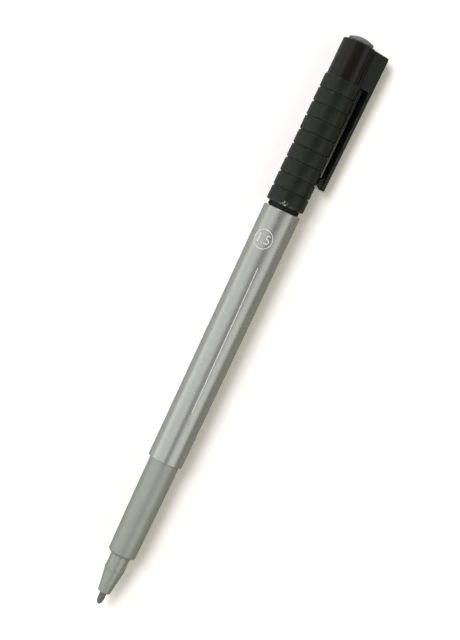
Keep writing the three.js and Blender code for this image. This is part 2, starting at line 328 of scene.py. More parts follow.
def penPlace(tree):
    # the pen's own directions: X along it, Z towards the clip
    place = addNode(tree, "TexCoord", {})["Object"]
    inputs = {"Vector": place, "Location": (0, axisY, axisZ), "Rotation": (roll, 0, 0)}
    return addNode(tree, "Mapping", inputs, vector_type="TEXTURE")["Vector"]


patternRange = (0.3, 0.7)  # most of what a noise pattern gives lies between these


def patternedMaterial(look):
    # two tones, worn edges with a painted edge highlight, roughness and bumps, each led by the pattern that
    # the look names
    made, tree, shader = newMaterial(look["name"], look["sockets"])
    place = penPlace(tree)
    patterns = {}
    if "lines" in look:
        along, around = look["lines"]
        patterns["Lines"] = addGroup(tree, "drawnLines", place, {"Along": along, "Around": around})["Lines"]
    if "grain" in look:
        grain = addGroup(tree, "mouldGrain", place, {"Grains per metre": look["grain"]})
        patterns["Grain"], patterns["Patches"] = grain["Grain"], grain["Patches"]
    pattern, deep, light = look["tones"]
    tone = blendColours(tree, deep, light, patterns[pattern])
    if "wornAndHighlit" in look:
        # pale edges: partly rubbed wear, partly a painted highlight where edges catch the light
        start, pale = look["wornAndHighlit"]
        tone = blendColours(tree, tone, pale, addGroup(tree, "edgeWear", place, {"Start": start})["Wear"])
    feed(tree, tone, shader["Base Color"])
    if "roughness" in look:
        pattern, low, high = look["roughness"]
        shader["Roughness"].default_value = low
        feed(tree, rangeOf(tree, patterns[pattern], low, high, *patternRange), shader["Roughness"])
    bump = None
    for pattern, depth in look.get("bumps", {}).items():
        bump = addBump(tree, patterns[pattern], depth, bump)
    if bump is not None:
        feed(tree, bump, shader["Normal"])
    return made


# Nib: a stiff fibre point, worn round at its end
nibShape = {"radius": 0.925, "noseLength": 1.9, "noseSteps": 10, "endRound": 0.12}
nibLook = {
    "name": "nib fibre",
    "lines": (300.0, 9000.0),
    "grain": 7000.0,
    "tones": ("Lines", colour(44, 46, 42), colour(116, 119, 111)),
    "bumps": {"Lines": 0.03, "Grain": 0.02},
    "sockets": {"Roughness": 0.42, "Coat Weight": 0.8, "Coat Roughness": 0.25},
}


def makeNib():
    outline = []
    for step in range(nibShape["noseSteps"] + 1):
        angle = math.radians(90) * step / nibShape["noseSteps"]
        x = nibTip + nibShape["noseLength"] * (1 - math.cos(angle))
        outline.append((x, nibShape["radius"] * math.sin(angle)))
    outline += [(nibEnd, nibShape["radius"], nibShape["endRound"]), (nibEnd, 0)]
    return turnedPiece("fibre_point", outline, turning["fineSides"])


# Holder: the cone that grips the nib, a narrow ridge, and the stem that goes into the grip section
holderShape = {
    "faceRadius": 1.725,
    "faceRound": 0.28,
    "boreClearance": 0.05,
    "boreChamfer": 0.15,
    "coneLength": 6.95,
    "ridgeHeight": 0.12,
    "ridgeWidth": 0.42,
    "stemRadius": 2.675,
    "stemLength": 4.5,
    "tailRadius": 2.45,
    "ventRadius": 1.4,
    "gripLength": 9.0,
}
holderLook = {
    "name": "grey gloss plastic",
    "lines": (60.0, 1300.0),
    "grain": 5000.0,
    "tones": ("Lines", colour(138, 142, 134), colour(172, 176, 167)),
    "wornAndHighlit": (0.6, colour(176, 181, 172)),
    "roughness": ("Lines", 0.26, 0.38),
    "bumps": {"Lines": 0.02, "Grain": 0.006},
    "sockets": {"Metallic": 0.4},
}


def makeHolder():
    shape = holderShape
    bore = nibShape["radius"] + shape["boreClearance"]
    coneEnd = holderFront + shape["coneLength"]
    stemEnd = coneEnd + shape["stemLength"]
    ridge = shape["stemRadius"] + shape["ridgeHeight"]
    gripEnd = holderFront + shape["gripLength"]
    return turnedPiece(
        "tip_holder",
        [
            (holderFront + shape["boreChamfer"], bore),
            (holderFront, bore + shape["boreChamfer"]),
            (holderFront, shape["faceRadius"], shape["faceRound"]),
            (coneEnd - shape["ridgeWidth"], shape["stemRadius"] - 0.03, 0.08),
            (coneEnd - shape["ridgeWidth"] * 0.7, ridge, 0.08),
            (coneEnd, ridge, 0.08),
            (coneEnd + shape["ridgeWidth"] * 0.3, shape["stemRadius"], 0.08),
            (stemEnd, shape["stemRadius"], 0.06),
            (stemEnd, shape["tailRadius"], 0.05),
            (holderEnd, shape["tailRadius"], 0.25),
            (holderEnd, shape["ventRadius"]),
            (gripEnd, shape["ventRadius"]),
            (gripEnd, bore),
            (holderFront + shape["boreChamfer"], bore),
        ],
    )


# Grip section: matte, a little swelled, with a rounded shoulder in front and a spigot inside the barrel
sectionShape = {
    "stemGap": 0.15,
    "mouthChamfer": 0.1,
    "faceDepth": 0.42,
    "faceRadius": 3.4,
    "shoulderLength": 1.2,
    "frontRadius": 3.8,
    "rearRadius": 4.1,
    "swell": 0.06,
    "swellSteps": 8,
    "visibleLength": 27.7,
    "spigotRadius": 3.85,
    "spigotBore": 3.3,
    "tailBore": 2.5,
    "tailInset": 0.7,
    "bridgeEnd": 7.7,
}
sectionLook = {
    "name": "grey matte plastic",
    "lines": (50.0, 800.0),
    "grain": 4500.0,
    "tones": ("Patches", colour(153, 157, 148), colour(167, 171, 162)),
    "wornAndHighlit": (0.6, colour(170, 174, 164)),
    "roughness": ("Lines", 0.36, 0.46),
    "bumps": {"Grain": 0.012, "Lines": 0.01},
    "sockets": {"Metallic": 0.45},
}


def makeSection():
    shape = sectionShape
    mouth = holderShape["stemRadius"] + shape["stemGap"]
    shoulderEnd = sectionFront + shape["shoulderLength"]
    rear = sectionFront + shape["visibleLength"]
    outline = [
        (sectionFront + shape["mouthChamfer"], mouth),
        (sectionFront, mouth + shape["mouthChamfer"], 0.05),
        (sectionFront + shape["faceDepth"], shape["faceRadius"] + 0.12, 0.3),
        (shoulderEnd - 0.45, shape["frontRadius"], 0.3),
    ]
    for step in range(shape["swellSteps"] + 1):
        share = step / shape["swellSteps"]
        straight = shape["frontRadius"] + (shape["rearRadius"] - shape["frontRadius"]) * share
        swelled = straight + 4 * shape["swell"] * share * (1 - share)
        outline.append((shoulderEnd + (rear - shoulderEnd) * share, swelled))
    outline += [
        (rear, shape["spigotRadius"], 0.05),
        (sectionEnd, shape["spigotRadius"], 0.2),
        (sectionEnd, shape["spigotBore"]),
        (sectionFront + shape["bridgeEnd"], shape["spigotBore"]),
        (sectionFront + shape["bridgeEnd"], shape["tailBore"]),
        (sectionFront + shape["tailInset"], shape["tailBore"]),
        (sectionFront + shape["tailInset"], mouth),
        (sectionFront + shape["mouthChamfer"], mouth),
    ]
    return turnedPiece("grip_section", outline)


# Barrel: a silver tube, a little wider at the rear
barrelShape = {"frontRadius": 4.75, "rearRadius": 5.1, "bore": 3.9, "frontRound": 0.15, "rearRound": 0.32}
barrelLook = {
    "name": "silver satin",
    "lines": (14.0, 900.0),
    "grain": 9000.0,
    "tones": ("Lines", colour(182, 185, 177), colour(194, 197, 189)),
    "wornAndHighlit": (0.6, colour(208, 211, 204)),
    "roughness": ("Patches", 0.23, 0.28),
    "bumps": {"Lines": 0.0022, "Grain": 0.0004},
    "sockets": {"Metallic": 0.75},
}


def makeBarrel():
    shape = barrelShape
    return turnedPiece(
        "silver_tube",
        [
            (barrelFront, shape["bore"], 0.08),
            (barrelFront, shape["frontRadius"], shape["frontRound"]),
            (barrelRear, shape["rearRadius"], shape["rearRound"]),
            (barrelRear, shape["bore"], 0.08),
            (barrelFront, shape["bore"]),
        ],
    )


def barrelRadiusAt(x):
    share = (x - barrelFront) / (barrelRear - barrelFront)
    return barrelShape["frontRadius"] + (barrelShape["rearRadius"] - barrelShape["frontRadius"]) * share


# Print on the barrel: a long white line, and a plain number in a ring
printShape = {
    "height": 0.012,
    "thickness": 0.008,
    "lineEnds": (-24.95, 16.6),
    "lineOffsets": (1.1, 0.6),  # sideways from the top of the barrel, towards the clip
    "lineWidth": 0.2,
    "ringPlace": (24.0, -1.45),  # along the pen, and sideways round the barrel
    "ringRadius": 2.66,
    "ringLine": 0.18,
    "number": "1.5",
    "numberHeight": 2.5,
    "numberThinning": -0.045,
    "numberSpacing": 0.96,
}
printLook = {
    "name": "white print",
    "grain": 14000.0,
    "tones": ("Grain", colour(206, 209, 202), colour(236, 238, 232)),
    "sockets": {"Roughness": 0.45},
}


def seatPrint(piece, barrel):
    # lays thin print on the barrel's surface and gives it the thickness of the ink
    applyModifier(
        piece, "SHRINKWRAP", target=barrel, wrap_method="NEAREST_SURFACEPOINT", wrap_mode="ABOVE_SURFACE",
        offset=printShape["height"] * mm,
    )
    applyModifier(piece, "SOLIDIFY", thickness=printShape["thickness"] * mm, offset=-1)
    smooth(piece)


def wrapRound(piece, along, sideways):
    # bends a flat print, drawn with its top towards the cap, round the barrel at its place there
    radius = barrelRadiusAt(along)
    piece.rotation_euler = (0, 0, math.radians(-90))
    applyPlace(piece)
    piece.rotation_euler = (math.radians(-90), 0, 0)
    applyPlace(piece)
    reach = [vert.co.z for vert in piece.data.vertices]
    angle = -(max(reach) - min(reach)) / (radius * mm)
    applyModifier(piece, "SIMPLE_DEFORM", deform_method="BEND", deform_axis="X", angle=angle)
    piece.rotation_euler = (math.radians(90), 0, 0)
    applyPlace(piece)
    piece.location = (0, 0, radius * mm)
    applyPlace(piece)
    piece.location = (along * mm, axisY, axisZ)
    piece.rotation_euler = (sideways / radius, 0, 0)
    applyPlace(piece)


def makePrintLine(barrel):
    startX, endX = printShape["lineEnds"]
    startOffset, endOffset = printShape["lineOffsets"]
    length = math.hypot(endX - startX, endOffset - startOffset)
    above = axisZ + barrelRadiusAt((startX + endX) / 2) * mm
    line = addPrimitive(
        "print_line",
        bpy.ops.mesh.primitive_grid_add,
        x_subdivisions=80,
        y_subdivisions=2,
        size=mm,
        location=((startX + endX) / 2 * mm, axisY - (startOffset + endOffset) / 2 * mm, above),
        rotation=(0, 0, math.atan2(startOffset - endOffset, endX - startX)),
    )
    line.scale = (length, printShape["lineWidth"], 1)
    applyPlace(line)
    seatPrint(line, barrel)
    return line


def makePrintRing(barrel):
    radius = printShape["ringRadius"]
    ring = addPrimitive("print_ring", bpy.ops.mesh.primitive_circle_add, vertices=96, radius=radius * mm)
    openEdit(ring)
    bpy.ops.mesh.select_all(action="SELECT")
    bpy.ops.mesh.extrude_edges_move(TRANSFORM_OT_translate={"value": (0, 0, 0)})
    inner = (radius - printShape["ringLine"]) / radius
    bpy.ops.transform.resize(value=(inner, inner, 1), center_override=(0, 0, 0))
    bpy.ops.mesh.select_all(action="SELECT")
    bpy.ops.mesh.normals_make_consistent(inside=False)
    closeEdit()
    wrapRound(ring, *printShape["ringPlace"])
    seatPrint(ring, barrel)
    return ring


def makePrintNumber(barrel):
    number = addPrimitive("print_number", bpy.ops.object.text_add, location=(0, 0, 0))
    number.data.body = printShape["number"]
    number.data.align_x = "CENTER"
    number.data.align_y = "CENTER"
    number.data.size = printShape["numberHeight"] / 0.7 * mm  # a digit is 0.7 of the letter size high
    number.data.offset = printShape["numberThinning"] * mm
    number.data.space_character = printShape["numberSpacing"]
    number.data.resolution_u = 6
    bpy.ops.object.convert(target="MESH")
    openEdit(number)
    bpy.ops.mesh.select_all(action="SELECT")
    bpy.ops.mesh.remove_doubles(threshold=turning["weld"] * mm)
    bpy.ops.mesh.quads_convert_to_tris()
    bpy.ops.mesh.subdivide(number_cuts=3)
    closeEdit()
    wrapRound(number, *printShape["ringPlace"])
    seatPrint(number, barrel)
    return number


# Rear plug: a spigot in the barrel, a finely ribbed neck, and the hollow post that holds the cap
plugShape = {
    "spigotRadius": 3.85,
    "bore": 2.7,
    "postRadius": 4.3,
    "postTaper": 0.08,
    "postRound": 0.8,
    "postEndWall": 1.0,
    "collarGap": 0.1,
    "neckLand": 0.12,
    "ribs": 80,
    "ribDepth": 0.1,
}
plugLook = {
    "name": "black plug",
    "lines": (150.0, 2500.0),
    "grain": 5000.0,
    "tones": ("Lines", colour(6, 6, 5), colour(20, 20, 17)),
    "roughness": ("Patches", 0.42, 0.58),
    "bumps": {"Lines": 0.01, "Grain": 0.008},
    "sockets": {},
}


def makePlug():
    shape = plugShape
    collar = barrelRear + shape["collarGap"]
    neckStart, neckEnd = collar + shape["neckLand"], capMouth - shape["neckLand"]
    plug = turnedPiece(
        "post_plug",
        [
            (postEnd - shape["postEndWall"], 0),
            (postEnd - shape["postEndWall"], shape["bore"], 0.3),
            (plugFront, shape["bore"]),
            (plugFront, shape["spigotRadius"], 0.3),
            (collar, shape["spigotRadius"]),
            (collar, shape["postRadius"], 0.05),
            (neckStart, shape["postRadius"]),
            (neckEnd, shape["postRadius"]),
            (postEnd, shape["postRadius"] - shape["postTaper"], shape["postRound"]),
            (postEnd, 0),
        ],
        shape["ribs"] * 2,
    )
    # every other face round the neck sinks in, which leaves the ribs standing
    wedge = math.tau / (shape["ribs"] * 2)

    def sunken(face):
        middle = face.calc_center_median()
        onNeck = neckStart * mm < middle.x < neckEnd * mm
        outside = math.hypot(middle.y, middle.z) > 0.95 * shape["postRadius"] * mm
        return onNeck and outside and int((math.atan2(middle.z, middle.y) + math.tau) / wedge) % 2 == 0

    openEdit(plug)
    pick(plug, "FACE", sunken)
    bpy.ops.mesh.extrude_region_shrink_fatten(TRANSFORM_OT_shrink_fatten={"value": -shape["ribDepth"] * mm})
    closeEdit()
    return plug


# Cap: nine rings, a polished end with a chamfer, and a low rail on each side of the clip's root
capShape = {
    "mouthRadius": 5.22,
    "ringsEndRadius": 5.05,
    "smoothRadius": 4.725,
    "smoothEndRadius": 4.67,
    "smoothLength": 10.55,
    "mouthRound": 0.42,
    "mouthChamfer": 0.12,
    "rings": 9,
    "grooveWidth": 0.55,
    "grooveFloor": 0.26,
    "grooveDepth": 0.33,
    "ringRound": 0.13,
    "endChamfer": 0.36,
    "chamferRadius": 3.45,
    "bore": 4.42,
    "linerSeat": 3.65,
    "linerGap": 0.1,
    "studBore": 2.75,
}
railShape = {
    "width": 1.15,
    "angle": 48,  # degrees from the clip
    "height": 0.28,
    "endHeight": 0.05,
    "sink": 0.35,
    "overlap": 0.2,
    "round": 0.09,
    "grooveWidth": 0.22,  # of the fine groove on the rail's far side from the clip
    "grooveDepth": 0.3,
}
capLook = {
    "ringDeep": colour(15, 18, 9),
    "ringLight": colour(27, 31, 19),
    "wornAndHighlit": colour(92, 94, 87),
    "polished": colour(20, 19, 16),
    "dust": colour(150, 152, 146),
    "ringRoughness": (0.32, 0.44),
    "polishedRoughness": (0.17, 0.24),
    # painted glints, pale spots standing for highlights on the mouth's edge: from the mouth, degrees from
    # overhead, and how far they reach
    "paintedGlints": (0.4, -3, 1.1),
    "paintedGlintTone": colour(188, 190, 182),
}
ringsEnd = capEnd - capShape["smoothLength"]


def makeCapShell():
    shape = capShape
    pitch = (ringsEnd - capMouth) / shape["rings"]
    outline = [
        (capMouth + shape["mouthChamfer"], shape["bore"]),
        (capMouth, shape["bore"] + shape["mouthChamfer"], 0.05),
        (capMouth, shape["mouthRadius"], shape["mouthRound"]),
    ]
    for number in range(1, shape["rings"]):
        centre = capMouth + number * pitch
        widening = (shape["ringsEndRadius"] - shape["mouthRadius"]) * number / shape["rings"]
        radius = shape["mouthRadius"] + widening
        floorRadius = radius - shape["grooveDepth"]
        outline += [
            (centre - shape["grooveWidth"] / 2, radius, shape["ringRound"]),
            (centre - shape["grooveFloor"] / 2, floorRadius, 0.05),
            (centre + shape["grooveFloor"] / 2, floorRadius, 0.05),
            (centre + shape["grooveWidth"] / 2, radius, shape["ringRound"]),
        ]
    studFloor = linerEnd + shape["linerGap"]
    outline += [
        (ringsEnd - 0.12, shape["ringsEndRadius"], shape["ringRound"]),
        (ringsEnd, shape["smoothRadius"], 0.06),
        (capEnd - shape["endChamfer"], shape["smoothEndRadius"], 0.15),
        (capEnd, shape["chamferRadius"], 0.08),
        (capEnd, shape["studBore"]),
        (studFloor, shape["studBore"]),
        (studFloor, shape["linerSeat"]),
        (linerFront - shape["linerGap"], shape["linerSeat"]),
        (linerFront - shape["linerGap"], shape["bore"]),
        (capMouth + shape["mouthChamfer"], shape["bore"]),
    ]
    return turnedPiece("ringed_cap", outline)


def makeRail(side):
    shape = railShape
    start, end = ringsEnd - shape["overlap"], capEnd - capShape["endChamfer"]
    startTop = capShape["smoothRadius"] + shape["height"]
    endTop = capShape["smoothEndRadius"] + shape["endHeight"]
    half = shape["width"] / 2
    low, high = (start, -half, capShape["smoothRadius"] - shape["sink"]), (end, half, startTop)
    rail = addBlock("rail", low, high)
    openEdit(rail)
    surface = capShape["smoothEndRadius"] * mm
    pick(rail, "VERT", lambda vert: vert.co.x > (end - 0.1) * mm and vert.co.z > surface)
    bpy.ops.transform.translate(value=(0, 0, (endTop - startTop) * mm))
    pick(rail, "EDGE", lambda edge: all(vert.co.z > surface for vert in edge.verts))
    bpy.ops.mesh.bevel(offset=shape["round"] * mm, segments=3, affect="EDGES")
    closeEdit()
    rail.rotation_euler = (side * math.radians(shape["angle"]), 0, 0)
    applyPlace(rail)
    return rail


def makeGroove(side):
    # the tool that cuts the groove, drawn beside the rail
    shape = railShape
    near = -side * shape["width"] / 2
    far = near - side * shape["grooveWidth"]
    floorRadius = capShape["smoothEndRadius"] - shape["grooveDepth"]
    tool = addBlock(
        "groove",
        (ringsEnd, min(near, far), floorRadius),
        (capEnd + 1, max(near, far), capShape["smoothRadius"] + 1),
    )
    tool.rotation_euler = (side * math.radians(shape["angle"]), 0, 0)
    applyPlace(tool)
    return tool


def makeCap():
    cap = makeCapShell()
    for side in (-1, 1):
        for makeTool, operation in ((makeRail, "UNION"), (makeGroove, "DIFFERENCE")):
            tool = makeTool(side)
            applyModifier(cap, "BOOLEAN", operation=operation, solver="EXACT", object=tool)
            bpy.data.objects.remove(tool)
    return cap


def capMaterial():
    look = capLook
    sockets = {"Roughness": look["ringRoughness"][0], "IOR": 1.45}
    made, tree, shader = newMaterial("black cap plastic", sockets)
    place = penPlace(tree)
    along = addNode(tree, "SeparateXYZ", {"Vector": place})["X"]
    polished = rangeOf(tree, along, 0.0, 1.0, (ringsEnd - 0.05) * mm, (ringsEnd + 0.05) * mm)
    lines = addGroup(tree, "drawnLines", place, {"Along": 5200.0, "Around": 220.0})["Lines"]
    grain = addGroup(tree, "mouldGrain", place, {"Grains per metre": 5200.0})
    wearAndHighlight = addGroup(tree, "edgeWear", place, {"Start": 0.5})["Wear"]
    dust = addGroup(tree, "dust", place, {"Cells per metre": 330.0, "Speck size": 0.035})["Specks"]
    tone = blendColours(tree, look["ringDeep"], look["ringLight"], lines)
    # pale ring edges: partly rubbed wear, partly a painted edge highlight
    tone = blendColours(tree, tone, look["wornAndHighlit"], wearAndHighlight)
    tone = blendColours(tree, tone, look["polished"], polished)
    tone = blendColours(tree, tone, look["dust"], dust)

    # a few painted glints, pale spots that stand for highlights, on the edge of the mouth
    fromMouth, tilt, reach = look["paintedGlints"]
    turn = math.radians(90 + tilt) - roll
    radius = capShape["mouthRadius"]
    glintSpot = Vector((capMouth + fromMouth, radius * math.cos(turn), radius * math.sin(turn))) * mm
    away = vectorOf(tree, "DISTANCE", {0: place, 1: glintSpot}, "Value")
    near = rangeOf(tree, away, 0.0, 1.0, reach * mm, reach * mm / 3)
    few = rangeOf(tree, noiseOf(tree, place, 2600.0, 1.0), 0.0, 1.0, 0.52, 0.58)
    tone = blendColours(tree, tone, look["paintedGlintTone"], mathOf(tree, "MULTIPLY", near, few))
    feed(tree, tone, shader["Base Color"])

    # the end is glossier than the rings, and has none of their grain
    ringShine = rangeOf(tree, lines, *look["ringRoughness"], *patternRange)
    endShine = rangeOf(tree, grain["Patches"], *look["polishedRoughness"], *patternRange)
    shine = addNode(tree, "Mix", {"Factor": polished, "A": ringShine, "B": endShine})["Result"]
    feed(tree, shine, shader["Roughness"])
    onRings = mathOf(tree, "SUBTRACT", 1.0, polished, use_clamp=True)
    bump = None
    for pattern, depth in ((lines, 0.012), (grain["Grain"], 0.008)):
        bump = addBump(tree, mathOf(tree, "MULTIPLY", pattern, onRings), depth, bump)
    feed(tree, bump, shader["Normal"])
    return made


# Clip: one moulding of root block, long blade and foot
clipShape = {
    "rootWidth": 5.0,
    "tipWidth": 4.2,
    "thickness": 0.9,
    "rootHeight": 8.17,  # axis to the outer face, at the cap's end
    "tipHeight": 7.57,
    "rootSlot": 1.25,  # from the frame's blade to the block
    "blockBottom": 3.8,
    "blockSetback": 0.55,
    "blockLean": 0.25,
    "blockRound": 0.4,
    "windowRound": 0.6,
    "stations": (0.9, 1.7, 2.5, 3.3, 4.1, 4.9, 6.0, 8.0, 11.0, 14.0, 17.0, 20.0, 23.0, 24.8),
    "tipSlant": 0.6,
    "tipRound": 0.35,
    "footWidth": 2.2,
    "footGap": 0.16,
    "footLean": 0.75,
    "footSlope": 1.0,
    "edgeRound": 0.2,
    "blendEnd": 5.0,
}
clipLook = {
    "name": "black clip plastic",
    "lines": (120.0, 1800.0),
    "grain": 5200.0,
    "tones": ("Patches", colour(15, 19, 13), colour(21, 25, 18)),
    "wornAndHighlit": (0.7, colour(96, 98, 90)),
    "roughness": ("Lines", 0.36, 0.5),
    "bumps": {"Grain": 0.01, "Lines": 0.006},
    "sockets": {"IOR": 1.45},
}
blockFront = bladeRoot + clipShape["rootSlot"]


def clipTopAt(x):
    share = (x - clipTip) / (capEnd - clipTip)
    return clipShape["tipHeight"] + (clipShape["rootHeight"] - clipShape["tipHeight"]) * share


def makeClip():
    shape = clipShape
    half = shape["rootWidth"] / 2
    blockEnd = capEnd - shape["blockSetback"]
    frontTop, endTop = clipTopAt(blockFront), clipTopAt(blockEnd)
    clip = addBlock("pocket_clip", (blockFront, -half, shape["blockBottom"]), (blockEnd, half, endTop))
    openEdit(clip)

    # the block's top follows the blade's slope, and its end leans back
    lowPart = shape["blockBottom"] * mm + mm
    pick(clip, "VERT", lambda vert: vert.co.x < (blockFront + 0.1) * mm and vert.co.z > lowPart)
    bpy.ops.transform.translate(value=(0, 0, (frontTop - endTop) * mm))
    pick(clip, "VERT", lambda vert: vert.co.x > (blockEnd - 0.1) * mm and vert.co.z < lowPart)
    bpy.ops.transform.translate(value=(shape["blockLean"] * mm, 0, 0))

    # the blade grows out of the top of the block's front
    underside = frontTop - shape["thickness"]
    bpy.ops.mesh.select_all(action="SELECT")
    bpy.ops.mesh.bisect(plane_co=(0, 0, underside * mm), plane_no=(0, 0, 1))
    pick(
        clip,
        "FACE",
        lambda face: face.normal.x < -0.9 and face.calc_center_median().z > underside * mm,
    )
    hereX, hereWidth = blockFront, shape["rootWidth"]
    fullLength = blockFront - clipTip
    for station in (*shape["stations"], fullLength):
        x = blockFront - station
        width = shape["rootWidth"] + (shape["tipWidth"] - shape["rootWidth"]) * station / fullLength
        step = ((x - hereX) * mm, 0, (clipTopAt(x) - clipTopAt(hereX)) * mm)
        bpy.ops.mesh.extrude_region_move(TRANSFORM_OT_translate={"value": step})
        centre = (x * mm, 0, clipTopAt(x) * mm)
        bpy.ops.transform.resize(value=(1, width / hereWidth, 1), center_override=centre)
        hereX, hereWidth = x, width

    # the free end slants, and the foot stands under it
    tipUnder = clipTopAt(clipTip) - shape["thickness"]
    pick(clip, "VERT", lambda vert: vert.co.x < (clipTip + 0.1) * mm and vert.co.z < (tipUnder + 0.1) * mm)
    bpy.ops.transform.translate(value=(shape["tipSlant"] * mm, 0, 0))
    footRear = blockFront - shape["stations"][-1]
    for side in (-1, 1):
        pick(clip, "FACE", lambda face: face.calc_center_median().x < footRear * mm)
        bpy.ops.mesh.bisect(plane_co=(0, side * shape["footWidth"] / 2 * mm, 0), plane_no=(0, 1, 0))
    pick(
        clip,
        "FACE",
        lambda face: face.normal.z < -0.9
        and face.calc_center_median().x < footRear * mm
        and abs(face.calc_center_median().y) < shape["footWidth"] / 4 * mm,
    )
    ringRadius = capShape["mouthRadius"] - (capShape["mouthRadius"] - capShape["ringsEndRadius"]) * (
        (clipTip - capMouth) / (ringsEnd - capMouth)
    )
    footBottom = ringRadius + shape["footGap"]
    bpy.ops.mesh.extrude_region_move(TRANSFORM_OT_translate={"value": (0, 0, (footBottom - tipUnder) * mm)})
    footFront = clipTip + shape["tipSlant"]
    middle = (footFront + footRear) / 2
    pick(clip, "VERT", lambda vert: vert.co.z < (footBottom + 0.1) * mm and vert.co.x < middle * mm)
    bpy.ops.transform.translate(value=(shape["footLean"] * mm, 0, 0))
    pick(
        clip,
        "VERT",
        lambda vert: vert.co.z < (footBottom + 0.1) * mm and middle * mm < vert.co.x < (footRear + 0.1) * mm,
    )
    bpy.ops.transform.translate(value=(-shape["footSlope"] * mm, 0, 0))

    # rounded corners: the window under the blade, the block's end, and the free end seen from outside
    def edgeAt(x, z):
        return lambda edge: all(math.hypot(v.co.x - x * mm, v.co.z - z * mm) < 0.05 * mm for v in edge.verts)

    pick(clip, "EDGE", edgeAt(blockFront, underside))
    bpy.ops.mesh.bevel(offset=shape["windowRound"] * mm, segments=6, affect="EDGES")
    pick(clip, "EDGE", edgeAt(blockEnd, endTop))
    bpy.ops.mesh.bevel(offset=shape["blockRound"] * mm, segments=4, affect="EDGES")
    halfTip = shape["tipWidth"] / 2

    def tipCorner(edge):
        across = [abs(abs(vert.co.y) - halfTip * mm) < 0.05 * mm for vert in edge.verts]
        forward = [vert.co.x < (clipTip + shape["tipSlant"] + 0.05) * mm for vert in edge.verts]
        upright = abs(edge.verts[0].co.z - edge.verts[1].co.z) > 0.5 * mm
        return all(across) and all(forward) and upright

    pick(clip, "EDGE", tipCorner)
    bpy.ops.mesh.bevel(offset=shape["tipRound"] * mm, segments=6, affect="EDGES")
    bpy.ops.mesh.select_all(action="SELECT")
    bpy.ops.mesh.normals_make_consistent(inside=False)
    closeEdit()
    applyModifier(
        clip, "BEVEL", width=shape["edgeRound"] * mm, segments=3, limit_method="ANGLE",
        angle_limit=math.radians(38),
    )
    return clip


# Domed plug that closes the end of the cap
domeShape = {
    "radius": 3.45,
    "seatGap": 0.05,
    "rimRound": 0.24,
    "crownRadius": 3.2,
    "crownHeight": 0.7,
    "crownSteps": 10,
    "studRadius": 2.7,
    "studRound": 0.2,
}
domeLook = {
    "name": "grey-green end plug",
    "lines": (2000.0, 500.0),
    "grain": 6000.0,
    "tones": ("Lines", colour(98, 106, 99), colour(120, 127, 120)),
    "wornAndHighlit": (0.6, colour(170, 182, 176)),
    "roughness": ("Patches", 0.2, 0.32),
    "bumps": {"Grain": 0.004},
    "sockets": {"Metallic": 0.25},
}


def makeDome():
    shape = domeShape
    seat = capEnd + shape["seatGap"]
    outline = [
        (studFront, 0),
        (studFront, shape["studRadius"], shape["studRound"]),
        (seat, shape["studRadius"]),
        (seat, shape["radius"], 0.06),
        (domeTop - shape["crownHeight"] - 0.06, shape["radius"], shape["rimRound"]),
    ]
    for step in range(shape["crownSteps"], -1, -1):
        share = step / shape["crownSteps"]
        outline.append((domeTop - shape["crownHeight"] * share**2, shape["crownRadius"] * share))
    return turnedPiece("domed_plug", outline)


# Inner cap, which seals on the holder's stem when the pen is closed
linerShape = {"radius": 3.6, "bore": 3.0, "lipBore": 2.725, "lipLength": 1.0, "endWall": 0.8}
linerLook = {
    "name": "white liner plastic",
    "lines": (1500.0, 90.0),
    "grain": 5000.0,
    "tones": ("Lines", colour(190, 192, 186), colour(208, 210, 205)),
    "roughness": ("Patches", 0.35, 0.5),
    "bumps": {"Grain": 0.005},
    "sockets": {},
}


def makeLiner():
    shape = linerShape
    floorX = linerEnd - shape["endWall"]
    lipEnd = linerFront + shape["lipLength"]
    return turnedPiece(
        "inner_cap",
        [
            (floorX, 0),
            (floorX, shape["bore"], 0.3),
            (lipEnd + shape["bore"] - shape["lipBore"], shape["bore"], 0.1),
            (lipEnd, shape["lipBore"], 0.1),
            (linerFront, shape["lipBore"], 0.2),
            (linerFront, shape["radius"], 0.12),
            (linerEnd, shape["radius"], 0.2),
            (linerEnd, 0),
        ],
    )


# Reservoir: a bundle of inked fibre in a thin clear sleeve, both hidden in the barrel
reservoirShape = {"radius": 3.0, "sleeveBore": 3.05, "sleeveRadius": 3.2, "nibHole": 0.975, "holePlay": 0.3}
inkLook = {
    "name": "inked fibre",
    "lines": (80.0, 5000.0),
    "tones": ("Lines", colour(20, 21, 26), colour(52, 53, 60)),
    "bumps": {"Lines": 0.05},
    "sockets": {"Roughness": 0.9},
}
sleeveLook = {
    "name": "clear film",
    "grain": 6000.0,
    "tones": ("Patches", colour(214, 217, 216), colour(230, 232, 231)),
    "bumps": {"Patches": 0.03},
    "sockets": {"Roughness": 0.2, "Transmission Weight": 0.7, "IOR": 1.49},
}


def makeReservoir():
    shape = reservoirShape
    holeEnd = nibEnd + shape["holePlay"]
    return turnedPiece(
        "ink_reservoir",
        [
            (holeEnd, 0),
            (holeEnd, shape["nibHole"]),
            (reservoirFront, shape["nibHole"]),
            (reservoirFront, shape["radius"], 0.2),
            (reservoirEnd, shape["radius"], 0.2),
            (reservoirEnd, 0),
        ],
        turning["fineSides"],
    )


def makeSleeve():
    shape = reservoirShape
    return turnedPiece(
        "reservoir_sleeve",
        [
            (reservoirFront, shape["sleeveBore"]),
            (reservoirFront, shape["sleeveRadius"], 0.05),
            (reservoirEnd, shape["sleeveRadius"], 0.05),
            (reservoirEnd, shape["sleeveBore"]),
            (reservoirFront, shape["sleeveBore"]),
        ],
        turning["fineSides"],
    )


def storeEdgeShare(piece, fullTurn=22.5):
    # how sharply the surface turns outwards at each vertex: 0 on the flat, 1 at a turn of fullTurn degrees
    form = bmesh.new()
    form.from_mesh(piece.data)
    share = form.verts.layers.float.new("edgeShare")
    for vert in form.verts:
        turns = [math.degrees(edge.calc_face_angle_signed(0)) for edge in vert.link_edges]
        vert[share] = min(max([0, *turns]) / fullTurn, 1)
    form.to_mesh(piece.data)
    form.free()


